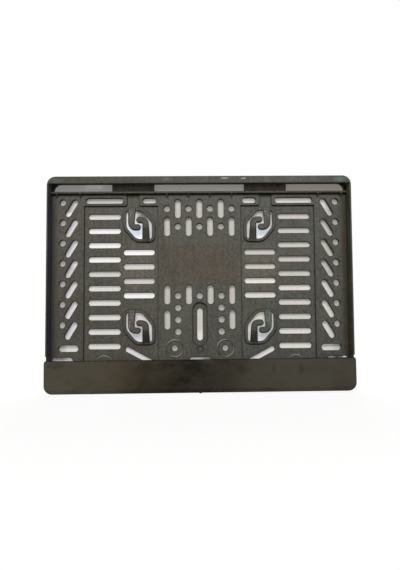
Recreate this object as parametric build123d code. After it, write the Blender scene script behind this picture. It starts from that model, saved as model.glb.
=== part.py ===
from build123d import *
from math import floor, radians, sin, tan
import os

# Number plate holder for a two-line plate: a slotted backing frame with a top lip, side walls and
# moulded spring fingers, and a glossy front strip that clips on along the bottom edge.
# Drawn face up, with x across the plate, y up the plate and z out from the mounting surface,
# centred on the plate, and stood upright at the end so that the front faces -Y. Sizes in millimetres.

# The plate and its room in the frame
plate_width = 340.0
plate_height = 210.0
plate_side_gap = 1.0
plate_top_gap = 0.8

# Sheet and walls of the backing frame
panel_thickness = 3.5
recess_depth = 1.6
wall_thickness = 1.8
wall_front = 14.5
corner_radius = 10.0

# Lip along the top
lip_height = 8.2
lip_thickness = 2.0

# Windows below the lip, rail under them, and gussets under the rail
window_height = 10.0
window_above_lip_edge = 3.5
window_end_gap = 2.1
window_end_radius = 8.0
middle_window_width = 104.6
bridge_width = 48.7
rail_thickness = 2.2
rail_height = 3.0
gusset_length = 4.3
gusset_thickness = 1.8
gusset_inset = 6.3
gusset_spacing = 27.0

# Raised fields: outer columns, centre panel, and pads at the top of the recessed columns
outer_field_width = 37.5
centre_field_width = 96.0
wide_pad_width = 49.5
narrow_pad_width = 21.8
pad_height = 13.8
pad_corner_radius = 2.5

# Slots and holes in the sheet
slot_width = 6.3
short_slot_width = 7.0
long_slot_length = 37.3
inner_slot_length = 36.0
short_slot_length = 22.2
slot_row_pitch = 16.7
first_slot_drop = 26.2
last_slot_rise = 10.0
outer_slot_inset = 23.6
inner_slot_inset = 22.0
pad_slot_drop = 7.7
pad_slot_width = 6.4
pad_slot_end_margin = 4.2
pad_slot_field_margin = 2.0
hole_diameter = 7.3
outer_hole_inset = 12.8
outer_hole_pitch = 23.68
outer_hole_drop = 9.7
slant_slot_inset = 23.0
slant_slot_drop = 6.5
slant_angle = 59.0
corner_slot_width = 7.4
corner_slot_length = 22.8
corner_slot_inset = 20.3
corner_slot_rise = 12.1
low_slant_width = 5.6
low_slant_angle = 28.0
low_slant_inset = 21.0
low_slant_rise = 3.0

# Centre arrays, on one column pitch
column_pitch = 12.5
upper_row_drop = 17.1
upper_row_pitch = 21.0
lower_row_rise = 72.1
lower_row_pitch = 13.77
lower_slot_lift = 1.4
keyway_width = 6.5
keyway_length = 37.4
keyway_rise = 39.3
keyway_seat_width = 16.9
keyway_seat_length = 50.0
keyway_seat_depth = 2.0
dimple_rise = 10.6
dimple_depth = 1.0

# Screw holes, each in a thin moulded ring
screw_hole_diameter = 6.6
screw_hole_spacing = 58.0
screw_hole_rise = 11.85
low_screw_spacing = 220.0
low_screw_drop = 6.0
ring_diameter = 20.2
ring_width = 0.8
ring_height = 0.5

# Collared openings, each with two interlocking spring fingers
opening_width = 30.0
opening_height = 33.2
opening_inset = 22.0
opening_cut_across = 12.0
opening_cut_up = 14.5
opening_corner_radius = 3.4
opening_cut_radius = 10.0
collar_width = 3.4
upper_opening_drop = 35.9
lower_opening_rise = 36.1
finger_root_width = 9.0
finger_width = 7.3
finger_thickness = 2.4
finger_offset = 8.2
finger_bend_radius = 5.0
finger_hook_drop = 4.2
finger_pair_rise = 0.4
finger_hook_length = 2.2
finger_rise = 4.4
finger_tilt = 16.0
finger_edge_chamfer = 0.9
finger_root_inset = 0.2

# Front strip
strip_side_overhang = 0.95
strip_height = 36.85
strip_overlap = 5.0
strip_front = 15.5
strip_wall = 2.0
strip_end_wall = 1.2
strip_bottom_wall = 1.8
strip_back_gap = 0.5
strip_top_radius = 2.0
strip_bottom_radius = 9.2
strip_bevel_width = 4.6
strip_bevel_drop = 0.6
strip_slant = 0.37
gate_mark_width = 2.6
gate_mark_height = 0.7

# How the strip sits on the frame
strip_side_clearance = 0.3
strip_bottom_clearance = 1.8
wall_end_gap = 4.0
lower_wall_thickness = 1.4

# Windows for the strip's tongues, and the tongues
clip_window_width = 24.5
clip_window_height = 13.4
clip_window_above_strip = 1.9
clip_window_radius = 4.0
clip_window_wall_gap = 1.0
clip_seat_depth = 1.7
clip_seat_margin = 2.5
tongue_width = 18.5
tongue_thickness = 2.5
tongue_plate_gap = 1.3
tongue_head_thickness = 1.4
tongue_head_overlap = 1.1
tongue_entry_clearance = 2.8
tongue_seat_clearance = 0.2

# Main lines of the layout, worked out from the sizes above
inner_half_width = plate_width / 2 + plate_side_gap
outer_half_width = inner_half_width + wall_thickness
inner_top = plate_height / 2 + plate_top_gap
top_edge = inner_top + wall_thickness
lip_bottom = top_edge - lip_height
window_top = lip_bottom + window_above_lip_edge
window_bottom = window_top - window_height
rail_bottom = window_bottom - rail_thickness
recess_floor = panel_thickness - recess_depth
recess_outer = inner_half_width - outer_field_width
recess_inner = centre_field_width / 2
strip_half_width = outer_half_width + strip_side_overhang
strip_top = strip_overlap - plate_height / 2
strip_bottom = strip_top - strip_height
strip_inner_face = strip_front - strip_wall
wall_end = strip_top + wall_end_gap
lower_outer_half = strip_half_width - strip_end_wall - strip_side_clearance
lower_inner_half = lower_outer_half - lower_wall_thickness
panel_bottom = strip_bottom + strip_bottom_wall + strip_bottom_clearance
strip_inner_radius = strip_bottom_radius - strip_end_wall
opening_x = recess_inner + opening_inset
upper_opening_y = rail_bottom - upper_opening_drop
lower_opening_y = strip_top + lower_opening_rise
clip_window_top = strip_top + clip_window_above_strip
clip_window_y = clip_window_top - clip_window_height / 2
clip_x = lower_inner_half - clip_window_wall_gap - clip_window_width / 2
SIDES = (-1, 1)
OUTWARD = (0, 0, 1)


def rows(first, pitch, last):
    """Row heights from first downwards at one pitch, none lower than last."""
    count = floor((first - last) / pitch) + 1
    return [first - index * pitch for index in range(count)]


def block(x_low, x_high, y_low, y_high, z_low, z_high):
    """Box between three pairs of planes."""
    box = Box(x_high - x_low, y_high - y_low, z_high - z_low, align=(Align.MIN, Align.MIN, Align.MIN))
    return Pos(x_low, y_low, z_low) * box


def rectangle(x_low, x_high, y_low, y_high):
    """Rectangle between two pairs of lines."""
    return Pos(x_low, y_low) * Rectangle(x_high - x_low, y_high - y_low, align=(Align.MIN, Align.MIN))


def slot(x, y, length, width, angle=0.0):
    """Round-ended slot, centred on a point and turned by an angle."""
    return Pos(x, y) * SlotOverall(length, width, rotation=angle)


def round_corners(shape, radius, *points):
    """Sketch with the corners nearest to some points rounded."""
    corners = [shape.vertices().sort_by_distance(point)[0] for point in points]
    return fillet(corners, radius)


def frame_outline(half_width, top, radius):
    """Outline of the walled part of the frame, round at its two top corners."""
    face = rectangle(-half_width, half_width, wall_end, top)
    return round_corners(face, radius, (-half_width, top), (half_width, top))


def foot_outline(half_width, bottom, top):
    """Outline of the stepped-in foot of the frame, round at its two bottom corners."""
    face = rectangle(-half_width, half_width, bottom, top)
    return round_corners(face, strip_inner_radius, (-half_width, bottom), (half_width, bottom))


def sheet_and_walls():
    """Back sheet, the top and side walls, the stepped-in walls behind the strip, and the lip."""
    outside = frame_outline(outer_half_width, top_edge, corner_radius)
    inside = frame_outline(inner_half_width, inner_top, corner_radius - wall_thickness)
    foot = foot_outline(lower_outer_half, panel_bottom, wall_end)
    foot_inside = rectangle(-lower_inner_half, lower_inner_half, panel_bottom, wall_end)
    lip = outside & rectangle(-outer_half_width, outer_half_width, lip_bottom, top_edge)
    body = extrude(outside, panel_thickness) + extrude(foot, panel_thickness)
    body += extrude(outside - inside, wall_front)
    body += extrude(foot - foot_inside, strip_inner_face)
    body += Pos(0, 0, wall_front - lip_thickness) * extrude(lip, lip_thickness)
    return body


def rail_and_gussets():
    """Rail across the frame below the lip windows, propped by small triangular gussets."""
    rail_front = panel_thickness + rail_height
    half = inner_half_width
    body = block(-half, half, rail_bottom, window_bottom, panel_thickness, rail_front)
    profile = Polygon(
        (rail_bottom, panel_thickness),
        (rail_bottom, rail_front),
        (rail_bottom - gusset_length, panel_thickness),
        align=None,
    )
    gusset = extrude(Plane.YZ * profile, gusset_thickness / 2, both=True)
    outer_x = inner_half_width - gusset_inset
    distances = (column_pitch, 3 * column_pitch, outer_x - gusset_spacing, outer_x)
    for side in SIDES:
        for distance in distances:
            body += Pos(side * distance, 0, 0) * gusset
    return body


def pads(side):
    """The two raised pads at the top of a recessed column, each with one rounded corner."""
    low = rail_bottom - pad_height
    wide_end = recess_outer - wide_pad_width
    narrow_end = recess_inner + narrow_pad_width
    wide = rectangle(wide_end, recess_outer, low, rail_bottom)
    narrow = rectangle(recess_inner, narrow_end, low, rail_bottom)
    wide = round_corners(wide, pad_corner_radius, (wide_end, low))
    narrow = round_corners(narrow, pad_corner_radius, (narrow_end, low))
    both = wide + narrow
    return both if side > 0 else mirror(both, about=Plane.YZ)


def opening_outline(margin):
    """Opening with two opposite corners cut off, all corners rounded, widened by a margin."""
    half_x = opening_width / 2
    half_y = opening_height / 2
    square_corners = (-half_x, half_y), (half_x, -half_y)
    lower_cut = (-half_x, opening_cut_up - half_y), (opening_cut_across - half_x, -half_y)
    upper_cut = (half_x, half_y - opening_cut_up), (half_x - opening_cut_across, half_y)
    outline = Polygon(square_corners[0], *lower_cut, square_corners[1], *upper_cut, align=None)
    outline = round_corners(outline, opening_corner_radius, *square_corners)
    outline = round_corners(outline, opening_cut_radius, *lower_cut, *upper_cut)
    return offset(outline, margin) if margin else outline


def opening_places():
    """For each of the four openings, a function that places a shape drawn for a left-hand one."""
    for y in (upper_opening_y, lower_opening_y):
        yield lambda shape, y=y: Pos(-opening_x, y) * shape
        yield lambda shape, y=y: Pos(opening_x, y) * mirror(shape, about=Plane.YZ)


def recesses():
    """The two recessed columns, with the pads and the collars left standing."""
    area = Sketch()
    for side in SIDES:
        column = rectangle(recess_inner, recess_outer, panel_bottom, rail_bottom)
        column = column if side > 0 else mirror(column, about=Plane.YZ)
        area += column - pads(side)
    for place in opening_places():
        area -= place(opening_outline(collar_width))
    return Pos(0, 0, recess_floor) * extrude(area, recess_depth, dir=OUTWARD)


def spring_finger(hook_drop):
    """J-shaped finger of a left-hand opening: a tapering shank, a quarter bend and a round-ended hook.

    The shank climbs out of the collar's outer edge and the hook runs level above the sheet. The blade has
    its front edges eased.
    """
    root = opening_height / 2 + collar_width - finger_root_inset
    bend_top = finger_bend_radius - hook_drop
    hook_start = finger_bend_radius - finger_offset
    hook_end = hook_start + finger_hook_length
    shank = Polygon(
        (-finger_offset - finger_root_width / 2, root),
        (-finger_offset - finger_width / 2, bend_top),
        (-finger_offset + finger_width / 2, bend_top),
        (-finger_offset + finger_root_width / 2, root),
        align=None,
    )
    bend = CenterArc((hook_start, bend_top), finger_bend_radius, 180, 90)
    hook = Line((hook_start, -hook_drop), (hook_end, -hook_drop))
    blade = shank + trace([bend, hook], finger_width)
    blade += Pos(hook_end, -hook_drop) * Circle(finger_width / 2)
    level = panel_thickness + finger_rise
    knee = root - finger_rise / tan(radians(finger_tilt))
    side = Polygon(
        (root, panel_thickness),
        (knee, level),
        (-root, level),
        (-root, level - finger_thickness),
        (knee, level - finger_thickness),
        (root, panel_thickness - finger_thickness),
        align=None,
    )
    finger = extrude(blade, level) & extrude(Plane.YZ * side, opening_width, both=True)
    front = finger.faces().filter_by(lambda face: face.normal_at().Z > 0).edges()
    crosswise = front.filter_by(Axis.X).filter_by_position(Axis.Y, bend_top, root)
    return chamfer(front - crosswise, finger_edge_chamfer)


def spring_fingers():
    """Both fingers of each opening, the second one half a turn from the first and a little longer."""
    upper = spring_finger(finger_hook_drop - finger_pair_rise)
    lower = spring_finger(finger_hook_drop + finger_pair_rise)
    pair = upper + Rot(0, 0, 180) * lower
    return [place(pair) for place in opening_places()]


def lip_windows():
    """Three windows between the lip and the rail, the outer two rounded towards the frame's corners."""
    far_end = inner_half_width - window_end_gap
    near_end = middle_window_width / 2 + bridge_width
    right = rectangle(near_end, far_end, window_bottom, window_top)
    right = round_corners(right, window_end_radius, (far_end, window_top))
    middle = rectangle(-middle_window_width / 2, middle_window_width / 2, window_bottom, window_top)
    return right + middle + mirror(right, about=Plane.YZ)


def outer_column_cuts():
    """Round holes and slanted slots down one outer column, and the corner slot at its foot."""
    hole_x = inner_half_width - outer_hole_inset
    slant_x = inner_half_width - slant_slot_inset
    corner_y = strip_top + corner_slot_rise
    slant_reach = (short_slot_length - short_slot_width) / 2 * sin(radians(slant_angle))
    lowest = corner_y + corner_slot_width + slant_reach + slant_slot_drop
    cuts = slot(inner_half_width - corner_slot_inset, corner_y, corner_slot_length, corner_slot_width)
    for y in rows(rail_bottom - outer_hole_drop, outer_hole_pitch, lowest):
        cuts += Pos(hole_x, y) * Circle(hole_diameter / 2)
        cuts += slot(slant_x, y - slant_slot_drop, short_slot_length, short_slot_width, 180 - slant_angle)
    return cuts


def recessed_column_cuts():
    """Slots of one recessed column: in the pads, down the column, between the openings, and at its foot."""
    outer_x = recess_outer - outer_slot_inset
    inner_x = recess_inner + inner_slot_inset
    first = rail_bottom - first_slot_drop
    collar_reach = opening_height / 2 + collar_width + slot_width / 2
    pad_y = rail_bottom - pad_slot_drop
    pad_margins = pad_slot_end_margin + pad_slot_field_margin
    wide_slot = wide_pad_width - pad_margins
    narrow_slot = narrow_pad_width - pad_margins
    wide_x = recess_outer - pad_slot_field_margin - wide_slot / 2
    narrow_x = recess_inner + pad_slot_field_margin + narrow_slot / 2
    cuts = slot(wide_x, pad_y, wide_slot, pad_slot_width)
    cuts += slot(narrow_x, pad_y, narrow_slot, pad_slot_width)
    for y in rows(first, slot_row_pitch, strip_top + last_slot_rise):
        cuts += slot(outer_x, y, long_slot_length, slot_width)
        between = y - slot_row_pitch / 2
        if lower_opening_y + collar_reach < between < upper_opening_y - collar_reach:
            cuts += slot(inner_x, between, inner_slot_length, slot_width)
    low_x = recess_inner + low_slant_inset
    cuts += slot(low_x, strip_top + low_slant_rise, long_slot_length, low_slant_width, low_slant_angle)
    return cuts


def centre_cuts():
    """Vertical slots and holes on the column pitch, alternating from row to row."""
    first = rail_bottom - upper_row_drop
    lower = strip_top + lower_row_rise
    even = [step * column_pitch for step in (-2, 0, 2)]
    odd = [step * column_pitch for step in (-3, -1, 1, 3)]
    side_row = lower - 2 * lower_row_pitch
    slots = [(x, first) for x in even] + [(x, first - upper_row_pitch) for x in odd]
    slots += [(x, lower + lower_slot_lift) for x in odd] + [(odd[0], side_row), (odd[-1], side_row)]
    holes = [(x, first) for x in odd] + [(x, first - upper_row_pitch) for x in even]
    holes += [(x, lower) for x in even]
    holes += [(x, lower - step * lower_row_pitch) for x in (even[0], even[-1]) for step in (1, 2, 3)]
    cuts = slot(0, strip_top + keyway_rise, keyway_length, keyway_width, 90)
    for x, y in slots:
        cuts += slot(x, y, short_slot_length, short_slot_width, 90)
    for x, y in holes:
        cuts += Pos(x, y) * Circle(hole_diameter / 2)
    return cuts


def screw_places():
    """Centre and floor height of each screw hole."""
    for side in SIDES:
        yield side * screw_hole_spacing / 2, strip_top + screw_hole_rise, panel_thickness
        yield side * low_screw_spacing / 2, strip_top - low_screw_drop, recess_floor


def clip_windows():
    """Windows for the three tongues, the outer two close to the stepped-in walls."""
    window = RectangleRounded(clip_window_width, clip_window_height, clip_window_radius)
    return Sketch() + [Pos(x, clip_window_y) * window for x in (-clip_x, 0, clip_x)]


def clip_seats():
    """Shallow pockets in the back of the sheet, where the heads of the tongues lie."""
    seat_height = clip_window_height + 2 * clip_seat_margin
    seat = Rectangle(clip_window_width, seat_height)
    seats = Sketch() + [Pos(x, clip_window_y) * seat for x in (-clip_x, 0, clip_x)]
    return extrude(seats, clip_seat_depth)


def through_cuts():
    """Every opening that goes right through the sheet."""
    right = outer_column_cuts() + recessed_column_cuts()
    cuts = right + mirror(right, about=Plane.YZ) + centre_cuts() + lip_windows() + clip_windows()
    for x, y, _ in screw_places():
        cuts += Pos(x, y) * Circle(screw_hole_diameter / 2)
    for place in opening_places():
        cuts += place(opening_outline(0))
    return extrude(cuts, panel_thickness, dir=OUTWARD)


def backing_frame():
    """The whole frame as one moulding."""
    body = sheet_and_walls() - recesses()
    body -= through_cuts()
    body -= clip_seats()
    seat_floor = panel_thickness - keyway_seat_depth
    seat = slot(0, strip_top + keyway_rise, keyway_seat_length, keyway_seat_width, 90)
    body -= Pos(0, 0, seat_floor) * extrude(seat, keyway_seat_depth)
    dimple = Pos(0, strip_top + dimple_rise, panel_thickness - dimple_depth) * Circle(hole_diameter / 2)
    body -= extrude(dimple, dimple_depth)
    body += rail_and_gussets()
    body += spring_fingers()
    ring = Circle(ring_diameter / 2) - Circle(ring_diameter / 2 - ring_width)
    for x, y, floor_height in screw_places():
        body += Pos(x, y, floor_height) * extrude(ring, ring_height)
    return body


def strip_shell():
    """Front wall with bevelled long edges, end caps and bottom wall, open at the top and the back."""
    left, right = -strip_half_width, strip_half_width
    face = rectangle(left, right, strip_bottom, strip_top)
    face = round_corners(face, strip_bottom_radius, (left, strip_bottom), (right, strip_bottom))
    face = round_corners(face, strip_top_radius, (left, strip_top), (right, strip_top))
    bevel_front = strip_front - strip_bevel_drop
    section = Polygon(
        (strip_top, strip_back_gap),
        (strip_top, bevel_front),
        (strip_top - strip_bevel_width, strip_front),
        (strip_bottom + strip_bevel_width, strip_front),
        (strip_bottom, bevel_front),
        (strip_bottom, strip_back_gap),
        align=None,
    )
    outside = extrude(Plane.YZ * section, strip_half_width, both=True) & extrude(face, strip_front)
    inner_half = strip_half_width - strip_end_wall
    cavity = foot_outline(inner_half, strip_bottom + strip_bottom_wall, strip_top + strip_wall)
    return outside - extrude(cavity, strip_inner_face)


def tongue():
    """Arm below the plate's edge, with a head that hooks over the window's lower edge from behind."""
    half = tongue_width / 2
    arm_top = -plate_height / 2 - tongue_plate_gap
    head_front = clip_seat_depth - tongue_seat_clearance
    head_back = head_front - tongue_head_thickness
    head_low = clip_window_top - clip_window_height - tongue_head_overlap
    head_high = head_low + clip_window_height - tongue_entry_clearance
    arm = block(-half, half, arm_top - tongue_thickness, arm_top, head_back, strip_inner_face)
    return arm + block(-half, half, head_low, head_high, head_back, head_front)


def gate_mark():
    """Small stub left in the middle of the bottom wall, where the moulding was cut from its feed."""
    half = gate_mark_width / 2
    low = strip_bottom - gate_mark_height
    front = strip_front - strip_bevel_drop
    return block(-half, half, low, strip_bottom, front - gate_mark_width, front)


def front_strip():
    """The strip with its three tongues, sitting a little askew in the play of its windows."""
    body = strip_shell() + gate_mark()
    for x in (-clip_x, 0, clip_x):
        body += Pos(x, 0, 0) * tongue()
    middle = (strip_top + strip_bottom) / 2
    return Pos(0, middle, 0) * Rot(0, 0, strip_slant) * Pos(0, -middle, 0) * body


stand_upright = Rot(90, 0, 0)
os.makedirs("parts", exist_ok=True)
export_step(stand_upright * backing_frame(), "parts/backing_frame.step")
export_step(stand_upright * front_strip(), "parts/front_strip.step")
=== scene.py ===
import math

import bpy
import numpy as np
from mathutils import Matrix, Vector


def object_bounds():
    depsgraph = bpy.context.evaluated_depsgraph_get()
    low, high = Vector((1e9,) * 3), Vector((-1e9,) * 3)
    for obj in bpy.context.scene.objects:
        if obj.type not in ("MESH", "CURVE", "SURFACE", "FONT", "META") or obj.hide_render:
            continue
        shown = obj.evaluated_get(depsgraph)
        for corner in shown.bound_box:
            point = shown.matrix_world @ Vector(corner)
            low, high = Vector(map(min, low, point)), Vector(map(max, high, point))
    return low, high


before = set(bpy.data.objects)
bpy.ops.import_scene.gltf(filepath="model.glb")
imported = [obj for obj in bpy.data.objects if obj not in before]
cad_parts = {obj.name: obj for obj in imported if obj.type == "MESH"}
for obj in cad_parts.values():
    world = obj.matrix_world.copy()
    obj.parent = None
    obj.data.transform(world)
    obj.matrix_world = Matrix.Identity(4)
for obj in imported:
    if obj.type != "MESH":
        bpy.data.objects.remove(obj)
cad_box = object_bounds()
scene = bpy.context.scene
scene.view_settings.view_transform = "Standard"

MM = 0.001
WHITE = (1, 1, 1, 1)


def grid_mesh(name, points):
    """Object from a rows x columns x 3 array of points: four neighbouring points make one quad."""
    rows, columns, _ = points.shape
    index = np.arange(rows * columns).reshape(rows, columns)
    quads = np.stack([index[:-1, :-1], index[:-1, 1:], index[1:, 1:], index[1:, :-1]], axis=-1)
    mesh = bpy.data.meshes.new(name)
    mesh.from_pydata(points.reshape(-1, 3).tolist(), [], quads.reshape(-1, 4).tolist())
    mesh.update()
    piece = bpy.data.objects.new(name, mesh)
    scene.collection.objects.link(piece)
    return piece


def flat_sheet(name, origin, along, across, cells=8):
    """Flat sheet: P(s, t) = origin + s * along + t * across, with s and t from 0 to 1."""
    s, t = np.meshgrid(np.linspace(0, 1, cells), np.linspace(0, 1, cells), indexing="xy")
    points = np.array(origin) + s[..., None] * np.array(along) + t[..., None] * np.array(across)
    return grid_mesh(name, points)


def fill(tree, socket, value):
    """Gives an input socket a plain value, or a link from another socket."""
    if isinstance(value, bpy.types.NodeSocket):
        tree.links.new(value, socket)
    else:
        socket.default_value = value


def node(tree, kind, inputs=None, **settings):
    """One node of a tree: its settings, then its inputs as plain values or as links from sockets."""
    made = tree.nodes.new(kind)
    for name, value in settings.items():
        setattr(made, name, value)
    for key, value in (inputs or {}).items():
        fill(tree, made.inputs[key], value)
    return made


def calc(tree, operation, *values):
    """Result of a Math node."""
    return node(tree, "ShaderNodeMath", dict(enumerate(values)), operation=operation).outputs[0]


def chain(tree, operation, values):
    """Several values joined one after another by the same operation."""
    joined = values[0]
    for value in values[1:]:
        joined = calc(tree, operation, joined, value)
    return joined


def product(tree, *values):
    """Product of several values."""
    return chain(tree, "MULTIPLY", values)


def total(tree, *values):
    """Sum of several values."""
    return chain(tree, "ADD", values)


def most(tree, masks):
    """Largest of several masks."""
    return chain(tree, "MAXIMUM", masks)


def vector_math(tree, operation, *values):
    """Outputs of a Vector Math node."""
    return node(tree, "ShaderNodeVectorMath", dict(enumerate(values)), operation=operation).outputs


def vector_calc(tree, operation, *values):
    """Vector result of a Vector Math node."""
    return vector_math(tree, operation, *values)["Vector"]


def vector_value(tree, operation, *values):
    """Single value from a Vector Math node: a length or a dot product."""
    return vector_math(tree, operation, *values)["Value"]


def split(tree, vector):
    """X, Y and Z of a vector."""
    return node(tree, "ShaderNodeSeparateXYZ", {0: vector}).outputs


def ramp(tree, value, low, high, start=0.0, end=1.0):
    """Smooth step of a value: start at low, end at high."""
    inputs = {"Value": value, "From Min": low, "From Max": high, "To Min": start, "To Max": end}
    return node(tree, "ShaderNodeMapRange", inputs, interpolation_type="SMOOTHSTEP").outputs["Result"]


def mm_ramp(tree, length, limits, start=0.0, end=1.0):
    """Smooth step of a length between two limits in mm."""
    low, high = limits
    return ramp(tree, length, low * MM, high * MM, start, end)


def tint(tree, share, plain, other, blend_type="MIX"):
    """Colour between two colours, or one colour laid on another with a blend type."""
    mixed = node(tree, "ShaderNodeMix", data_type="RGBA", blend_type=blend_type)
    for key, value in ((0, share), (6, plain), (7, other)):
        fill(tree, mixed.inputs[key], value)
    return mixed.outputs[2]


def grey(tree, value):
    """Grey colour of a value."""
    return node(tree, "ShaderNodeCombineColor", {0: value, 1: value, 2: value}).outputs[0]


def noise(tree, vector, scale, detail=3.0, roughness=0.55):
    """Grey noise about 0.5, with its scale in features per metre."""
    inputs = {"Vector": vector, "Scale": scale, "Detail": detail, "Roughness": roughness}
    return node(tree, "ShaderNodeTexNoise", inputs).outputs["Fac"]


def streaks(tree, vector, scale, detail, roughness=0.55):
    """Noise with its own scale along each axis, drawn out where the scale is low."""
    drawn = node(tree, "ShaderNodeMapping", {"Vector": vector, "Scale": scale}).outputs["Vector"]
    return noise(tree, drawn, 1.0, detail, roughness)


def place(tree):
    """Place on the object, in metres in the part's own frame."""
    return node(tree, "ShaderNodeTexCoord").outputs["Object"]


def effect(name, inputs, outputs):
    """Empty shader node group: its tree, the sockets of its inputs and the node that takes its outputs."""
    tree = bpy.data.node_groups.new(name, "ShaderNodeTree")
    for label, kind, value in inputs:
        socket = tree.interface.new_socket(name=label, in_out="INPUT", socket_type="NodeSocket" + kind)
        socket.default_value = value
    for label, kind in outputs:
        tree.interface.new_socket(name=label, in_out="OUTPUT", socket_type="NodeSocket" + kind)
    return tree, tree.nodes.new("NodeGroupInput").outputs, tree.nodes.new("NodeGroupOutput")


def use(tree, group, **inputs):
    """A group placed in a tree with its own values: the outputs of its node."""
    placed = node(tree, "ShaderNodeGroup", node_tree=group)
    for key, value in inputs.items():
        fill(tree, placed.inputs[key.replace("_", " ")], value)
    return placed.outputs


def moulded_grain_effect():
    """Spark-eroded mould texture: rounded cells of the given size, broken up by finer noise.

    Height is cells + noise in 0..1, Tone is the finer noise with slow drifts, about 0.5.
    """
    tree, given, out = effect(
        "moulded_grain",
        [("Cells per metre", "Float", 1600.0), ("Drift per metre", "Float", 18.0)],
        [("Height", "Float"), ("Tone", "Float")],
    )
    spot = place(tree)
    cell_inputs = {"Vector": spot, "Scale": given["Cells per metre"]}
    cells = node(tree, "ShaderNodeTexVoronoi", cell_inputs, feature="SMOOTH_F1").outputs["Distance"]
    fine = noise(tree, spot, product(tree, given["Cells per metre"], 0.45), 4.0, 0.62)
    height = total(tree, product(tree, cells, 0.5), product(tree, fine, 0.6))
    drift = noise(tree, spot, given["Drift per metre"], 4.0, 0.6)
    tone = total(tree, product(tree, fine, 0.55), product(tree, drift, 0.45))
    tree.links.new(height, out.inputs["Height"])
    tree.links.new(tone, out.inputs["Tone"])
    return tree


def eased_edge_effect():
    """Rounded edges: the normal averaged over a radius.

    Edge is how far it leaves the flat normal, and Down is how far it turns downwards.
    """
    tree, given, out = effect(
        "eased_edges",
        [("Radius", "Float", 0.4 * MM)],
        [("Normal", "Vector"), ("Edge", "Float"), ("Down", "Float")],
    )
    rounded = node(tree, "ShaderNodeBevel", {"Radius": given["Radius"]}, samples=6).outputs["Normal"]
    flat = node(tree, "ShaderNodeNewGeometry").outputs["True Normal"]
    along = vector_value(tree, "DOT_PRODUCT", rounded, flat)
    turned = split(tree, vector_calc(tree, "SUBTRACT", rounded, flat))["Z"]
    tree.links.new(rounded, out.inputs["Normal"])
    tree.links.new(ramp(tree, along, 0.999, 0.955), out.inputs["Edge"])
    tree.links.new(ramp(tree, turned, -0.02, -0.14), out.inputs["Down"])
    return tree


def patch_effect():
    """Soft rectangle: 1 inside a centre and half size in X and Z, 0 outside, with a wavering edge."""
    tree, given, out = effect(
        "soft_patch",
        [
            ("Centre", "Vector", (0, 0, 0)),
            ("Half size", "Vector", (0, 0, 0)),
            ("Softness", "Float", 1 * MM),
            ("Waver", "Float", 1 * MM),
            ("Waves per metre", "Float", 150.0),
        ],
        [("Mask", "Float")],
    )
    spot = place(tree)
    waves = calc(tree, "SUBTRACT", noise(tree, spot, given["Waves per metre"]), 0.5)
    away = vector_calc(tree, "ABSOLUTE", vector_calc(tree, "SUBTRACT", spot, given["Centre"]))
    over = split(tree, vector_calc(tree, "SUBTRACT", away, given["Half size"]))
    reach = total(tree, most(tree, [over["X"], over["Z"]]), product(tree, waves, given["Waver"]))
    edge = product(tree, given["Softness"], -1.0)
    tree.links.new(ramp(tree, reach, given["Softness"], edge), out.inputs["Mask"])
    return tree


def oval_effect():
    """Soft oval: 1 in the middle, 0 outside a half size in X and Z, fading throughout, broken by noise."""
    tree, given, out = effect(
        "soft_oval",
        [
            ("Centre", "Vector", (0, 0, 0)),
            ("Half size", "Vector", (1, 1, 1)),
            ("Breaks per metre", "Float", 300.0),
        ],
        [("Mask", "Float")],
    )
    spot = place(tree)
    off = vector_calc(tree, "SUBTRACT", spot, given["Centre"])
    share = vector_calc(tree, "DIVIDE", off, given["Half size"])
    away = vector_value(tree, "LENGTH", vector_calc(tree, "MULTIPLY", share, (1, 0, 1)))
    broken = calc(tree, "SUBTRACT", noise(tree, spot, given["Breaks per metre"], 3.0), 0.5)
    tree.links.new(ramp(tree, total(tree, away, broken), 1.1, 0.35), out.inputs["Mask"])
    return tree


def scratch_effect():
    """Fine scratches: the thin ridges of noise drawn out along one axis, broken into short runs."""
    tree, given, out = effect(
        "scratches",
        [("Lines", "Vector", (60, 60, 900)), ("Runs per metre", "Float", 25.0), ("Amount", "Float", 0.5)],
        [("Mask", "Float")],
    )
    spot = place(tree)
    drawn = noise(tree, vector_calc(tree, "MULTIPLY", spot, given["Lines"]), 1.0, 2.0, 0.5)
    ridge = ramp(tree, calc(tree, "ABSOLUTE", calc(tree, "SUBTRACT", drawn, 0.5)), 0.012, 0.0)
    runs = ramp(tree, noise(tree, spot, given["Runs per metre"], 2.0), 0.52, 0.68)
    tree.links.new(product(tree, ridge, runs, given["Amount"]), out.inputs["Mask"])
    return tree


def inner_corner_effect():
    """Painted shade in inner corners: how much of the near surroundings, within a reach, is closed off."""
    tree, given, out = effect("inner_corners", [("Reach", "Float", 2 * MM)], [("Mask", "Float")])
    reach = {"Distance": given["Reach"]}
    closed = node(tree, "ShaderNodeAmbientOcclusion", reach, samples=8, only_local=True)
    tree.links.new(ramp(tree, closed.outputs["AO"], 0.92, 0.48), out.inputs["Mask"])
    return tree


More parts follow.
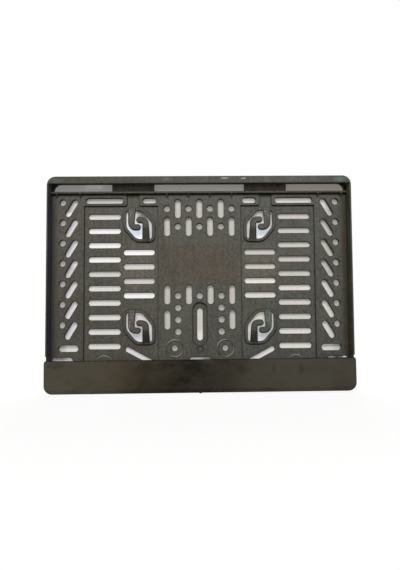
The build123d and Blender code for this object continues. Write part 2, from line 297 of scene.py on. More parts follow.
def round_rim_effect():
    """Round rim at a radius round a centre, in X and Z, as an ejector pin leaves in a moulding.

    Arcs is the rim weighted by the square of its direction along a given axis, so two opposite arcs stay.
    """
    tree, given, out = effect(
        "round_rim",
        [
            ("Centre", "Vector", (0, 0, 0)),
            ("Radius", "Float", 2.2 * MM),
            ("Half width", "Float", 0.35 * MM),
            ("Axis", "Vector", (0, 0, 1)),
        ],
        [("Rim", "Float"), ("Arcs", "Float")],
    )
    off = vector_calc(tree, "SUBTRACT", place(tree), given["Centre"])
    flat = vector_calc(tree, "MULTIPLY", off, (1, 0, 1))
    beyond = calc(tree, "SUBTRACT", vector_value(tree, "LENGTH", flat), given["Radius"])
    ring = ramp(tree, calc(tree, "ABSOLUTE", beyond), given["Half width"], 0.0)
    along = vector_value(tree, "DOT_PRODUCT", vector_calc(tree, "NORMALIZE", flat), given["Axis"])
    tree.links.new(ring, out.inputs["Rim"])
    tree.links.new(product(tree, ring, along, along), out.inputs["Arcs"])
    return tree


grain = moulded_grain_effect()
eased_edges = eased_edge_effect()
soft_patch = patch_effect()
soft_oval = oval_effect()
scratches = scratch_effect()
inner_corners = inner_corner_effect()
round_rim = round_rim_effect()


def bare_material(name):
    """New material with an empty tree."""
    made = bpy.data.materials.new(name)
    made.use_nodes = True
    made.node_tree.nodes.clear()
    return made, made.node_tree


def plastic_material(name):
    """New material with its tree and an unlinked Principled shader on its output."""
    made, tree = bare_material(name)
    shader = tree.nodes.new("ShaderNodeBsdfPrincipled")
    node(tree, "ShaderNodeOutputMaterial", {"Surface": shader.outputs["BSDF"]})
    return made, tree, shader


def patch(tree, x, z, half_x, half_z, softness=1.0, waver=1.0, waves=150.0):
    """Soft rectangle placed by its centre and half size in mm."""
    return use(
        tree,
        soft_patch,
        Centre=(x * MM, 0, z * MM),
        Half_size=(half_x * MM, 0, half_z * MM),
        Softness=softness * MM,
        Waver=waver * MM,
        Waves_per_metre=waves,
    )["Mask"]


def oval(tree, x, z, half_x, half_z, breaks=300.0):
    """Soft oval placed by its centre and half size in mm."""
    return use(
        tree,
        soft_oval,
        Centre=(x * MM, 0, z * MM),
        Half_size=(half_x * MM, 1, half_z * MM),
        Breaks_per_metre=breaks,
    )["Mask"]


def rim(tree, x, z, radius, half_width, axis=(0, 0, 1)):
    """Round rim placed by its centre, radius and half width in mm: its Rim and its Arcs."""
    return use(
        tree,
        round_rim,
        Centre=(x * MM, 0, z * MM),
        Radius=radius * MM,
        Half_width=half_width * MM,
        Axis=axis,
    )


def bump(tree, strength, distance, height, normal):
    """Normal bent by a height, with its distance in mm."""
    inputs = {"Strength": strength, "Distance": distance * MM, "Height": height, "Normal": normal}
    return node(tree, "ShaderNodeBump", inputs).outputs["Normal"]


# Paints of the backing frame, as linear red, green and blue.
OLIVE_LEFT = (0.061, 0.058, 0.047, 1)
OLIVE_RIGHT = (0.064, 0.068, 0.061, 1)
PANEL_BROWN = (0.065, 0.054, 0.040, 1)
BETWEEN_OPENINGS = (0.122, 0.106, 0.088, 1)
WARM_DRIFT = (0.070, 0.059, 0.040, 1)
COOL_DRIFT = (0.055, 0.060, 0.057, 1)
# Paler ends of the lip, bluish at the right.
LIP_END_PALE_LEFT = (0.105, 0.112, 0.085, 1)
LIP_END_BLUISH_RIGHT = (0.100, 0.150, 0.145, 1)
# Painted highlight streaks on the upper fingers' shanks.
SHANK_HIGHLIGHT_LEFT = (0.170, 0.166, 0.148, 1)
SHANK_HIGHLIGHT_RIGHT = (0.135, 0.175, 0.185, 1)
# Painted shade at the lower fingers' roots.
ROOT_SHADE = (0.014, 0.010, 0.006, 1)
# Painted shade along edges, most where they turn down.
EDGE_SHADE = (0.014, 0.013, 0.010, 1)
DOWN_EDGE_SHADE = (0.009, 0.008, 0.006, 1)
RAIL_SHADE = (0.009, 0.008, 0.005, 1)
WALL_SHADE_LEFT = (0.020, 0.019, 0.016, 1)
WALL_SHADE_RIGHT = (0.024, 0.018, 0.007, 1)
# Painted shade on undersides, in inner corners and on the walls of holes.
UNDERSIDE_SHADE = (0.006, 0.005, 0.004, 1)
CORNER_SHADE = (0.007, 0.006, 0.005, 1)
HOLE_WALL_SHADE = (0.007, 0.006, 0.004, 1)
PIN_RIM = (0.018, 0.016, 0.012, 1)
# Painted highlight on two arcs of each screw ring.
RING_HIGHLIGHT = (0.50, 0.49, 0.46, 1)
CHALK = (0.62, 0.62, 0.59, 1)

# Factors on the backing frame's paint.
# Painted shade on the outer columns.
OUTER_SHADE_FACTOR = (0.93, 0.93, 0.93, 1)
LIP_LEFT_FACTOR = (0.68, 0.72, 0.57, 1)
LIP_RIGHT_FACTOR = (0.99, 1.06, 1.02, 1)
# Painted light on the bridges behind the lip.
BEHIND_LIP_LIGHT_FACTOR = (1.6, 1.5, 1.45, 1)
# Painted light: bluish on faces that look to the right, yellowish on faces that look to the left.
RIGHT_FACING_LIGHT_FACTOR = (1.02, 1.14, 1.60, 1)
LEFT_FACING_LIGHT_FACTOR = (1.2, 1.12, 0.84, 1)

# Soft limits in X on the backing frame, in mm. The last two count from the middle to either side.
ACROSS_PART = (-120, 120)
ACROSS_MIDDLE = (-10, 10)
OUTER_COLUMNS = (130, 136)
NEAR_WALLS = (161, 168)

# Soft limits in Y on the backing frame, in mm. The front is towards -Y.
LIP_FRONT = (-11, -12)
RAIL_FRONT = (-5.9, -6.3)
WALL_FOOT = (-5.5, -4.5)
BEFORE_SHEET = (-3.6, -4.4)
SHEET_FRONT = (-3.9, -3.6)

# Soft limits in Z on the backing frame, in mm.
ABOVE_RAIL = (93, 94.5)
RAIL_LOW = (90, 90.7)
RAIL_HIGH = (93.5, 92.9)
RAIL_SHADE_LOW = (88.4, 90.4)
RAIL_SHADE_HIGH = (91.2, 90.8)
UPPER_TO_LOWER = (10, -30)

# Places on the backing frame in mm: centre and half size, then softness, waver and waves per metre.
CENTRE_PANEL = (0, 7.5, 47, 24, 1.5, 3.0)
SCUFFS = [(29.4, 105.1, 3.6, 0.35, 0.45, 2.2, 420), (50.2, 104.6, 2.2, 0.35, 0.5, 2.2, 420)]
HATCHED = (-37.5, 104, 3.4, 1.8, 1.5, 2.0)

# Ovals on the backing frame in mm: centre and half size, then breaks per metre.
OPENING_OVALS = [(x, 2, 26, 34, 60.0) for x in (-70, 70)]
LIP_LEFT_END = (-162.0, 103.0, 9.5, 3.6)
LIP_RIGHT_END = (160.0, 103.4, 7.5, 3.6)

# Spring fingers: places of painted highlight on the upper fingers' shanks, and ovals of painted shade at
# the lower fingers' roots.
UPPER_SHANKS = [(x, z, 3.4, 9, 1.5, 1.0) for z in (62, -57) for x in (-78.2, 78.2)]
LOWER_ROOTS = [(x, z, 9, 20, 120.0) for z in (36, -83) for x in (-61.8, 61.8)]

# Ejector-pin marks on the panel: x, z and radius in mm, and the half width of their rims.
PIN_MARKS = [
    (-165.5, 77, 2.0), (-110, -12.5, 2.6), (-69, -21, 2.6), (-111.5, -78, 2.6), (111.5, 55.5, 2.6),
    (70, 13, 2.6), (110.5, -76, 2.6), (-167, -93, 2.0), (164, 76, 2.0), (169, -93, 2.0),
    (-144, -71.5, 2.6), (146, -71, 2.6), (-82, 53, 2.0), (84, 55, 2.0),
]
PIN_HALF_WIDTH = 0.7

# Rings round the screw holes: x and z in mm, and the axis of their two arcs of painted highlight.
RING_ARCS = [
    (-29, -88.15, (0.25, 0, -0.97)),
    (29, -88.15, (0.6, 0, -0.8)),
    (-110, -106, (0, 0, 1)),
    (110, -106, (0, 0, 1)),
]
RING_RADIUS = 9.7
RING_HALF_WIDTH = 0.8


def sheet_colour(tree, spot, at, texture):
    """Mottled olive from left to right, browner in the centre panel, paler between the openings, and
    painted shade on the outer columns.
    """
    colour = tint(tree, mm_ramp(tree, at["X"], ACROSS_PART), OLIVE_LEFT, OLIVE_RIGHT)
    colour = tint(tree, patch(tree, *CENTRE_PANEL), colour, PANEL_BROWN)
    for where in OPENING_OVALS:
        colour = tint(tree, product(tree, oval(tree, *where), 0.8), colour, BETWEEN_OPENINGS)
    outer = mm_ramp(tree, calc(tree, "ABSOLUTE", at["X"]), OUTER_COLUMNS)
    colour = tint(tree, outer, colour, OUTER_SHADE_FACTOR, "MULTIPLY")
    hue = noise(tree, spot, 60.0, 3.0)
    colour = tint(tree, ramp(tree, hue, 0.45, 0.75, 0.0, 0.45), colour, WARM_DRIFT)
    colour = tint(tree, ramp(tree, hue, 0.55, 0.25, 0.0, 0.45), colour, COOL_DRIFT)
    drawn = product(tree, streaks(tree, spot, (420, 420, 30), 3.0), 0.2)
    mottle = product(tree, noise(tree, spot, 380.0, 3.0, 0.7), 0.5)
    tone = total(tree, product(tree, texture["Tone"], 0.5), drawn, mottle)
    return tint(tree, 1.0, colour, grey(tree, ramp(tree, tone, 0.42, 0.78, 0.50, 1.54)), "MULTIPLY")


def lip_colour(tree, at, colour):
    """The lip darker at the left, painted light on the bridges behind it, and its two paler ends, bluish at
    the right.
    """
    on_lip = mm_ramp(tree, at["Y"], LIP_FRONT)
    tone = tint(tree, mm_ramp(tree, at["X"], ACROSS_PART), LIP_LEFT_FACTOR, LIP_RIGHT_FACTOR)
    colour = tint(tree, on_lip, colour, tone, "MULTIPLY")
    behind = product(tree, mm_ramp(tree, at["Z"], ABOVE_RAIL), calc(tree, "SUBTRACT", 1.0, on_lip))
    colour = tint(tree, behind, colour, BEHIND_LIP_LIGHT_FACTOR, "MULTIPLY")
    colour = tint(tree, product(tree, oval(tree, *LIP_LEFT_END), 0.35), colour, LIP_END_PALE_LEFT)
    return tint(tree, product(tree, oval(tree, *LIP_RIGHT_END), 0.75), colour, LIP_END_BLUISH_RIGHT)


def finger_colour(tree, spot, at, colour):
    """Painted highlight streaks on the upper fingers' shanks, and painted shade at the roots of the lower
    fingers.
    """
    drawn = ramp(tree, streaks(tree, spot, (700, 700, 60), 2.0), 0.50, 0.66)
    shanks = most(tree, [patch(tree, *where) for where in UPPER_SHANKS])
    paler = tint(tree, mm_ramp(tree, at["X"], ACROSS_MIDDLE), SHANK_HIGHLIGHT_LEFT, SHANK_HIGHLIGHT_RIGHT)
    colour = tint(tree, product(tree, shanks, drawn), colour, paler)
    roots = most(tree, [oval(tree, *where) for where in LOWER_ROOTS])
    before_sheet = mm_ramp(tree, at["Y"], BEFORE_SHEET)
    strength = mm_ramp(tree, at["Z"], UPPER_TO_LOWER, 0.55, 0.88)
    return tint(tree, product(tree, roots, before_sheet, strength), colour, ROOT_SHADE)


def edge_colour(tree, at, colour):
    """Painted shade along edges, most where they turn down and less on the rail.

    Painted shade also darkens the sheet right under the rail and along the side walls, more so at the
    right.
    """
    outlines = use(tree, eased_edges, Radius=1.8 * MM)
    rail_height = product(tree, mm_ramp(tree, at["Z"], RAIL_LOW), mm_ramp(tree, at["Z"], RAIL_HIGH))
    on_rail = product(tree, rail_height, mm_ramp(tree, at["Y"], RAIL_FRONT))
    kept = ramp(tree, on_rail, 0.0, 1.0, 1.0, 0.55)
    colour = tint(tree, product(tree, outlines["Edge"], 0.55, kept), colour, EDGE_SHADE)
    colour = tint(tree, product(tree, outlines["Down"], 0.92, kept), colour, DOWN_EDGE_SHADE)
    shade_low = mm_ramp(tree, at["Z"], RAIL_SHADE_LOW)
    shade_high = mm_ramp(tree, at["Z"], RAIL_SHADE_HIGH)
    on_sheet = mm_ramp(tree, at["Y"], SHEET_FRONT, 0.0, 0.7)
    colour = tint(tree, product(tree, shade_low, shade_high, on_sheet), colour, RAIL_SHADE)
    near_walls = mm_ramp(tree, calc(tree, "ABSOLUTE", at["X"]), NEAR_WALLS, 0.0, 0.55)
    at_foot = mm_ramp(tree, at["Y"], WALL_FOOT)
    more_right = mm_ramp(tree, at["X"], ACROSS_MIDDLE, 1.0, 1.6)
    shade = tint(tree, mm_ramp(tree, at["X"], ACROSS_MIDDLE), WALL_SHADE_LEFT, WALL_SHADE_RIGHT)
    return tint(tree, product(tree, near_walls, at_foot, more_right), colour, shade)


def wall_colour(tree, at, colour):
    """Painted light and shade by the way a face looks: painted shade where it looks down,
    bluish painted light where it looks to the right, yellowish where it looks to the left.

    Painted shade also darkens inner corners and the walls of holes.
    """
    facing = split(tree, node(tree, "ShaderNodeNewGeometry").outputs["Normal"])
    colour = tint(tree, ramp(tree, facing["Z"], -0.60, -0.80, 0.0, 0.85), colour, UNDERSIDE_SHADE)
    colour = tint(tree, ramp(tree, facing["X"], 0.4, 0.8), colour, RIGHT_FACING_LIGHT_FACTOR, "MULTIPLY")
    colour = tint(tree, ramp(tree, facing["X"], -0.4, -0.8), colour, LEFT_FACING_LIGHT_FACTOR, "MULTIPLY")
    colour = tint(tree, use(tree, inner_corners, Reach=1.8 * MM)["Mask"], colour, CORNER_SHADE)
    sideways = ramp(tree, calc(tree, "ABSOLUTE", facing["Y"]), 0.75, 0.45)
    not_up = ramp(tree, facing["Z"], 0.6, 0.2, 0.0, 0.7)
    in_hole = product(tree, sideways, mm_ramp(tree, at["Y"], SHEET_FRONT), not_up)
    return tint(tree, in_hole, colour, HOLE_WALL_SHADE)


def chalk_marks(tree, spot):
    """Two chalky scuffs and a hatched place on the lip, and fine scratches all over."""
    hatch = ramp(tree, streaks(tree, spot, (1400, 100, 1400), 2.0), 0.5, 0.62)
    hatched = product(tree, patch(tree, *HATCHED), hatch, 0.3)
    fine = use(tree, scratches, Lines=(90, 90, 1100), Runs_per_metre=35.0, Amount=0.2)["Mask"]
    return most(tree, [patch(tree, *where) for where in SCUFFS] + [hatched, fine])


def matt_plastic():
    """Grained dark olive plastic of the backing frame: mould marks, drifts of tone, scuffs, and painted
    light and shade.
    """
    made, tree, shader = plastic_material("matt_plastic")
    spot = place(tree)
    at = split(tree, spot)
    texture = use(tree, grain, Cells_per_metre=1500.0, Drift_per_metre=14.0)
    edges = use(tree, eased_edges, Radius=0.45 * MM)

    colour = sheet_colour(tree, spot, at, texture)
    colour = lip_colour(tree, at, colour)
    colour = finger_colour(tree, spot, at, colour)
    colour = edge_colour(tree, at, colour)
    colour = wall_colour(tree, at, colour)
    pins = most(tree, [rim(tree, *pin, PIN_HALF_WIDTH)["Rim"] for pin in PIN_MARKS])
    colour = tint(tree, product(tree, pins, 0.5), colour, PIN_RIM)
    # Painted highlight on two arcs of each screw ring.
    arcs = [rim(tree, x, z, RING_RADIUS, RING_HALF_WIDTH, axis)["Arcs"] for x, z, axis in RING_ARCS]
    colour = tint(tree, product(tree, most(tree, arcs), 0.75), colour, RING_HIGHLIGHT)
    colour = tint(tree, chalk_marks(tree, spot), colour, CHALK)
    tree.links.new(colour, shader.inputs["Base Color"])

    dull = ramp(tree, texture["Tone"], 0.3, 0.75, 0.60, 0.74)
    worn = calc(tree, "SUBTRACT", dull, product(tree, edges["Edge"], 0.12))
    tree.links.new(worn, shader.inputs["Roughness"])
    height = total(tree, product(tree, texture["Height"], 0.35), pins)
    tree.links.new(bump(tree, 0.55, 0.12, height, edges["Normal"]), shader.inputs["Normal"])
    shader.inputs["IOR"].default_value = 1.49
    return made


# Paints of the front strip with its painted edge highlight and painted dark reflection at the top edge, and
# the factor of the painted dark reflection in its middle.
STRIP_OLIVE = (0.0100, 0.0090, 0.0066, 1)
STRIP_BROWN = (0.0138, 0.0108, 0.0080, 1)
STRIP_EDGE_HIGHLIGHT = (0.06, 0.055, 0.045, 1)
STRIP_SCRATCH = (0.16, 0.14, 0.12, 1)
STRIP_TOP_DARK_REFLECTION = (0.004, 0.004, 0.003, 1)
STRIP_DARK_REFLECTION_FACTOR = (0.60, 0.63, 0.70, 1)

# How far the front strip sits askew, in degrees, and where its top edge lies in Z at the middle, in mm.
STRIP_SLANT = 0.37
STRIP_TOP = (-101.4, -100.4)

# Places on the strip in mm: centre and half size. The painted dark reflection in the middle also has
# softness, waver and waves per metre.
STRIP_DARK_REFLECTION_PLACE = (-10, -120, 26, 40, 16, 8.0, 40.0)
STRIP_SMEARS = [(112, -111, 3.0, 9.0), (82, -111, 2.5, 8.0), (47, -112, 7, 6), (-161, -106, 12, 6)]
STRIP_PALE_SPOT = (131, -121, 2.6, 1.0)


def polished_plastic():
    """Polished near-black plastic of the front strip: smears, scratches, slow waves, a painted edge
    highlight and painted dark reflections.
    """
    made, tree, shader = plastic_material("polished_plastic")
    spot = place(tree)
    at = split(tree, spot)
    texture = use(tree, grain, Cells_per_metre=2200.0, Drift_per_metre=30.0)
    edges = use(tree, eased_edges, Radius=0.6 * MM)

    drift = ramp(tree, streaks(tree, spot, (14, 14, 30), 4.0, 0.6), 0.35, 0.65)
    colour = tint(tree, drift, STRIP_OLIVE, STRIP_BROWN)
    # Painted highlight on the strip's edges.
    colour = tint(tree, product(tree, edges["Edge"], 0.3), colour, STRIP_EDGE_HIGHLIGHT)
    fine = use(tree, scratches, Lines=(25, 25, 1500), Runs_per_metre=18.0, Amount=0.18)["Mask"]
    colour = tint(tree, fine, colour, STRIP_SCRATCH)
    askew = product(tree, at["X"], math.tan(math.radians(STRIP_SLANT)))
    top_edge = mm_ramp(tree, calc(tree, "SUBTRACT", at["Z"], askew), STRIP_TOP)
    # Painted dark reflection along the top edge.
    colour = tint(tree, product(tree, top_edge, 0.7), colour, STRIP_TOP_DARK_REFLECTION)
    # Painted dark reflection in the middle.
    colour = tint(tree, patch(tree, *STRIP_DARK_REFLECTION_PLACE), colour, STRIP_DARK_REFLECTION_FACTOR, "MULTIPLY")
    tree.links.new(colour, shader.inputs["Base Color"])

    smears = product(tree, most(tree, [oval(tree, *where) for where in STRIP_SMEARS]), 0.12)
    pale_spot = product(tree, oval(tree, *STRIP_PALE_SPOT), 0.12)
    gloss = calc(tree, "SUBTRACT", ramp(tree, top_edge, 0.0, 1.0, 0.5, 0.15), smears)
    tree.links.new(total(tree, gloss, pale_spot), shader.inputs["Specular IOR Level"])
    smeared = ramp(tree, streaks(tree, spot, (30, 30, 55), 5.0, 0.65), 0.38, 0.68, 0.14, 0.26)
    tree.links.new(total(tree, smeared, product(tree, texture["Tone"], 0.06)), shader.inputs["Roughness"])
    wave = streaks(tree, spot, (16, 16, 26), 2.0, 0.4)
    height = total(tree, wave, product(tree, texture["Height"], 0.0006))
    tree.links.new(bump(tree, 1.0, 1.6, height, edges["Normal"]), shader.inputs["Normal"])
    shader.inputs["IOR"].default_value = 1.53
    return made


# The card behind the part in mm: half width, lower and upper edge, and distance behind the back face.
CARD_HALF_WIDTH = 171
CARD_LOW = -131
CARD_HIGH = 105
CARD_BEHIND = 0.4

# Colours of the card's paper, and the factor on it where it is warm.
PAPER = (0.50, 0.49, 0.475, 1)
PAPER_SHADED = (0.13, 0.115, 0.09, 1)
PAPER_EVEN = (0.18, 0.172, 0.162, 1)
PAPER_WARM_FACTOR = (0.94, 0.87, 0.76, 1)

# Colours of the card's glow, which is painted light, and where its left goes over to its right, in mm.
GLOW_LEFT = (0.97, 0.985, 1.0, 1)
GLOW_RIGHT = (1.0, 0.98, 0.93, 1)
GLOW_BLUISH = (0.89, 0.97, 1.14, 1)
GLOW_WARM = (0.97, 0.90, 0.80, 1)
GLOW_LEFT_TO_RIGHT = (-62, -48)

# Places of the card in mm: centre and half size, then softness and waver.
CARD_SHADED = (-64, 68, 11, 9)
CARD_WARM = (130, 98, 50, 9, 3, 0.0)
CARD_OPENINGS = [(x, z, 13, 10, 5, 0.0) for x in (-70, 70) for z in (45, -74)]
CARD_SLANTED_SLOTS = (-148.5, 5, 6, 85, 3, 0.0)

# Places where the card's painted glow is brighter and, below zero, dimmer: centre, half size, softness in
# mm, and the difference.
CARD_PLACES = [
    (-101.5, 29, 53.5, 41, 3, 0.34), (-101.5, -62, 53.5, 50, 3, 0.17), (-101.5, 83, 53.5, 9, 3, 0.06),
    (101.5, 38, 53.5, 50, 3, 0.02), (101.5, -62, 53.5, 50, 3, 0.16), (115, -44, 26, 13, 3, -0.08),
    (-101.5, -2.5, 53.5, 10.5, 3, -0.26), (-115, 65, 26, 5, 3, -0.20), (-149, 34, 6.5, 24, 3, -0.20),
    (149, -5, 6.5, 85, 2, -0.06), (-70, -27.5, 20, 5, 3, 0.19), (-70, 20, 20, 9, 3, 0.05),
    (-70, 45, 13, 14, 5, 0.15), (70, 45, 13, 14, 5, 0.37), (-70, -74, 13, 12, 5, 0.08),
    (70, -74, 13, 12, 5, 0.08), (-58, 52, 4, 12, 4, -0.22), (60, 58, 5, 14, 4, -0.08),
    (0, -60, 5, 20, 1, 0.06), (0, -76, 5, 7, 6, 0.16), (0, 97.5, 172, 8, 2, 0.055),
    (101.5, 83, 53.5, 9, 3, 0.13), (70, -11, 20, 4, 2, 0.14), (-123, 101, 9, 1.5, 4, 0.12),
    (-4, -100.3, 7, 0.5, 1, 0.3), (150, -99.5, 10, 2.5, 2, -0.10), (167, -98.5, 2, 1.2, 0.6, 0.5),
]

# Round holes of the sheet, x and z in mm: behind them the card has darker paper and more painted glow, so
# it looks evenly lit, out to a reach in mm.
ROUND_HOLES = [(x, 73.6) for x in (-37.5, -12.5, 12.5, 37.5)]
ROUND_HOLES += [(x, z) for x in (-25, 0, 25) for z in (52.6, -28.9)]
ROUND_HOLES += [(x, -28.9 - step * 13.77) for x in (-25, 25) for step in (1, 2, 3)]
ROUND_HOLES += [(x, -88.15) for x in (-29, 29)]
ROUND_HOLES += [(x, 81 - step * 23.68) for x in (-158.2, 158.2) for step in range(7)]
HOLE_REACH = 8


def white_card_material():
    """White paper close behind the part, seen only from the front, by the camera and in reflections.

    The lamp lights it through the slots, and it also glows as painted light, more behind the left slots and
    the openings and evenly behind round holes. The glow is bluish behind the openings and the left slanted
    slots, and warm at the right end under the lip. A painted shade lies behind the upper left opening.
    """
    made, tree = bare_material("white_card")
    path = tree.nodes.new("ShaderNodeLightPath").outputs
    from_behind = tree.nodes.new("ShaderNodeNewGeometry").outputs["Backfacing"]
    looked_at = most(tree, [path["Is Camera Ray"], path["Is Glossy Ray"]])
    seen = product(tree, looked_at, calc(tree, "SUBTRACT", 1.0, from_behind))
    shaded = oval(tree, *CARD_SHADED)
    even = most(tree, [rim(tree, x, z, 0, HOLE_REACH)["Rim"] for x, z in ROUND_HOLES])
    warm = patch(tree, *CARD_WARM)

    bare = tint(tree, shaded, PAPER, PAPER_SHADED)
    bare = tint(tree, even, bare, PAPER_EVEN)
    bare = tint(tree, warm, bare, PAPER_WARM_FACTOR, "MULTIPLY")
    paper = node(tree, "ShaderNodeBsdfDiffuse", {"Color": bare})

    strength = ramp(tree, even, 0.0, 1.0, 0.105, 0.26)
    for *where, difference in CARD_PLACES:
        strength = total(tree, strength, product(tree, patch(tree, *where, 0.0), difference))
    strength = product(tree, strength, ramp(tree, shaded, 0.0, 1.0, 1.0, 0.25))
    rightward = mm_ramp(tree, split(tree, place(tree))["X"], GLOW_LEFT_TO_RIGHT)
    colour = tint(tree, rightward, GLOW_LEFT, GLOW_RIGHT)
    slanted_slots = product(tree, patch(tree, *CARD_SLANTED_SLOTS), 0.7)
    bluish = most(tree, [patch(tree, *where) for where in CARD_OPENINGS] + [slanted_slots])
    colour = tint(tree, bluish, colour, GLOW_BLUISH)
    colour = tint(tree, warm, colour, GLOW_WARM)
    glow = node(tree, "ShaderNodeEmission", {"Color": colour, "Strength": strength})

    lit = node(tree, "ShaderNodeAddShader", {0: paper.outputs[0], 1: glow.outputs[0]})
    clear = tree.nodes.new("ShaderNodeBsdfTransparent")
    mixed = node(tree, "ShaderNodeMixShader", {0: seen, 1: clear.outputs[0], 2: lit.outputs[0]})
    node(tree, "ShaderNodeOutputMaterial", {"Surface": mixed.outputs[0]})
    return made


# The floor: half its side in metres, and its paint as it lights the part and as the camera sees it.
FLOOR_HALF = 2
FLOOR_GREY = (0.25, 0.25, 0.25, 1)
FLOOR_PALE = (0.92, 0.92, 0.92, 1)

# Distance from the part in metres over which the floor's shadow fades out.
SHADOW_NEAR = 0.16
SHADOW_FAR = 0.55


def floor_material():
    """Pale floor: diffuse, and for the camera nearly white, with a shadow that fades out with distance."""
    made, tree = bare_material("pale_floor")
    camera_ray = tree.nodes.new("ShaderNodeLightPath").outputs["Is Camera Ray"]
    away = vector_value(tree, "LENGTH", place(tree))
    white = product(tree, camera_ray, ramp(tree, away, SHADOW_NEAR, SHADOW_FAR, 0.90, 1.0))
    paint = node(tree, "ShaderNodeBsdfDiffuse", {"Color": tint(tree, camera_ray, FLOOR_GREY, FLOOR_PALE)})
    glow = node(tree, "ShaderNodeEmission", {"Color": WHITE, "Strength": 1.0})
    mixed = node(tree, "ShaderNodeMixShader", {0: white, 1: paint.outputs[0], 2: glow.outputs[0]})
    node(tree, "ShaderNodeOutputMaterial", {"Surface": mixed.outputs[0]})
    return made


# Pale panels of the room, by the direction of a ray (x, y, z).
# Each has its middle and half width in x, its low and high in z, its softness and its brightness.
ROOM_PANELS = [
    (-0.325, 0.19, -0.45, 0.32, 0.07, 1.32),
    (0.262, 0.19, -0.45, 0.32, 0.07, 1.16),
    (-0.85, 0.12, -0.50, 0.50, 0.07, 0.35),
    (0.85, 0.12, -0.50, 0.50, 0.07, 0.55),
]

# The dim part of the room: its brightness, and the darker gap between the two middle panels.
ROOM_DIM = 0.10
ROOM_GAP = (-0.04, 0.10, -0.50, 0.35, 0.08)

# Colours of the room from the far left to the far right.
ROOM_FAR_LEFT = (1.05, 1.0, 0.78, 1)
ROOM_LEFT = (1.02, 0.83, 0.56, 1)
ROOM_RIGHT = (1.0, 0.92, 0.71, 1)
ROOM_FAR_RIGHT = (0.60, 0.80, 1.0, 1)


def soft_panel(tree, axis, middle, half_width, low, high, softness):
    """Soft-edged panel of the room, 1 inside: about a middle in x and between two heights in z."""
    off = calc(tree, "ABSOLUTE", calc(tree, "SUBTRACT", axis["X"], middle))
    across = ramp(tree, calc(tree, "SUBTRACT", off, half_width), softness, -softness)
    front = ramp(tree, axis["Y"], 0.1, -0.2)
    above = ramp(tree, axis["Z"], low - softness, low + softness)
    below = ramp(tree, axis["Z"], high + softness, high - softness)
    return product(tree, across, front, above, below)


def studio_world():
    """White to the camera. For all other rays a dim room with pale panels to the left and right.

    Brightness depends only on the ray's direction (x, y, z).
    """
    world = bpy.data.worlds.new("studio")
    scene.world = world
    world.use_nodes = True
    tree = world.node_tree
    tree.nodes.clear()
    axis = split(tree, node(tree, "ShaderNodeTexCoord").outputs["Generated"])
    panels = [product(tree, soft_panel(tree, axis, *where), bright) for *where, bright in ROOM_PANELS]
    dim = ramp(tree, axis["Z"], -0.8, 0.6, 0.5 * ROOM_DIM, ROOM_DIM)
    gap = product(tree, soft_panel(tree, axis, *ROOM_GAP), 0.8)
    lit = total(tree, *panels, product(tree, dim, calc(tree, "SUBTRACT", 1.0, gap)))
    colour = tint(tree, ramp(tree, axis["X"], -0.275, -0.305), ROOM_LEFT, ROOM_FAR_LEFT)
    colour = tint(tree, ramp(tree, axis["X"], 0.0, 0.15), colour, ROOM_RIGHT)
    colour = tint(tree, ramp(tree, axis["X"], 0.50, 0.70), colour, ROOM_FAR_RIGHT)
    soft = node(tree, "ShaderNodeBackground", {"Color": colour, "Strength": lit})
    white = node(tree, "ShaderNodeBackground", {"Color": WHITE, "Strength": 1.0})
    camera_ray = tree.nodes.new("ShaderNodeLightPath").outputs["Is Camera Ray"]
    mixed = node(tree, "ShaderNodeMixShader", {0: camera_ray, 1: soft.outputs[0], 2: white.outputs[0]})
    node(tree, "ShaderNodeOutputWorld", {"Surface": mixed.outputs[0]})


# Lamps: name, place in metres, width and height in metres, and power in watts. Both have one colour.
LAMPS = [
    ("overhead_lamp", (-0.15, -1.73, 1.35), 1.9, 0.95, 45),
    ("back_lamp", (0.1, 1.5, 1.9), 1.6, 0.8, 48),
]
LAMP_COLOUR = (1.0, 0.985, 0.955)


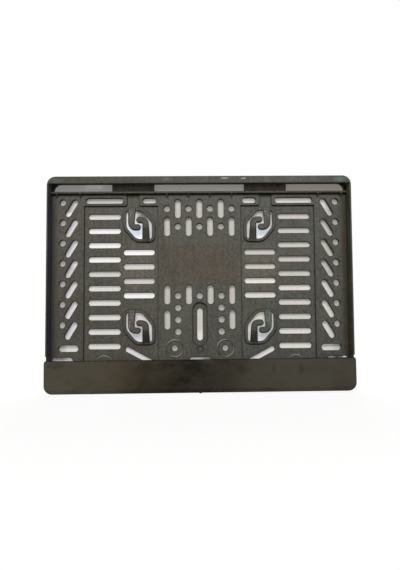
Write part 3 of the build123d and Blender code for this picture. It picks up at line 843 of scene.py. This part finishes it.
def soft_lamp(name, location, width, height, power):
    """Rectangular soft lamp that points at the origin of the part's frame."""
    light = bpy.data.lights.new(name, "AREA")
    light.shape = "RECTANGLE"
    light.size = width
    light.size_y = height
    light.energy = power
    light.color = LAMP_COLOUR
    lamp = bpy.data.objects.new(name, light)
    aim = Vector(location).to_track_quat("Z", "Y").to_matrix().to_4x4()
    lamp.matrix_world = Matrix.Translation(location) @ aim
    scene.collection.objects.link(lamp)


# Camera: place in metres, tilt, heading and roll in degrees, film width and focal length in mm, and shift.
CAMERA_PLACE = (-0.00221, -0.4496, -0.06319)
CAMERA_TILT = 92.40
CAMERA_HEADING = -0.30
CAMERA_ROLL = -0.366
FILM_WIDTH = 36
FOCAL_LENGTH = 24.542
UPWARD_SHIFT = 0.04386


def photo_camera():
    """Camera at the photograph's viewpoint: 450 mm in front, a little below the middle, nearly level."""
    lens = bpy.data.cameras.new("photo_camera")
    lens.sensor_width = FILM_WIDTH
    lens.lens = FOCAL_LENGTH
    lens.shift_y = UPWARD_SHIFT
    lens.clip_start = 0.01
    camera = bpy.data.objects.new("photo_camera", lens)
    turn = (
        Matrix.Rotation(math.radians(CAMERA_HEADING), 4, "Z")
        @ Matrix.Rotation(math.radians(CAMERA_TILT), 4, "X")
        @ Matrix.Rotation(math.radians(CAMERA_ROLL), 4, "Z")
    )
    camera.matrix_world = Matrix.Translation(CAMERA_PLACE) @ turn
    scene.collection.objects.link(camera)
    scene.camera = camera


def finish_node(name, made):
    """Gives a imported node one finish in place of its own."""
    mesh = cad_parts[name].data
    mesh.materials.clear()
    mesh.materials.append(made)


finish_node("backing_frame", matt_plastic())
finish_node("front_strip", polished_plastic())

floor_corner = (-FLOOR_HALF, -FLOOR_HALF, cad_box[0].z)
floor = flat_sheet("floor", floor_corner, (2 * FLOOR_HALF, 0, 0), (0, 2 * FLOOR_HALF, 0))
floor.data.materials.append(floor_material())
floor.visible_glossy = False
card_corner = (-CARD_HALF_WIDTH * MM, CARD_BEHIND * MM, CARD_LOW * MM)
card_height = (CARD_HIGH - CARD_LOW) * MM
card = flat_sheet("white_card", card_corner, (2 * CARD_HALF_WIDTH * MM, 0, 0), (0, 0, card_height))
card.data.materials.append(white_card_material())

studio_world()
for lamp_values in LAMPS:
    soft_lamp(*lamp_values)
photo_camera()
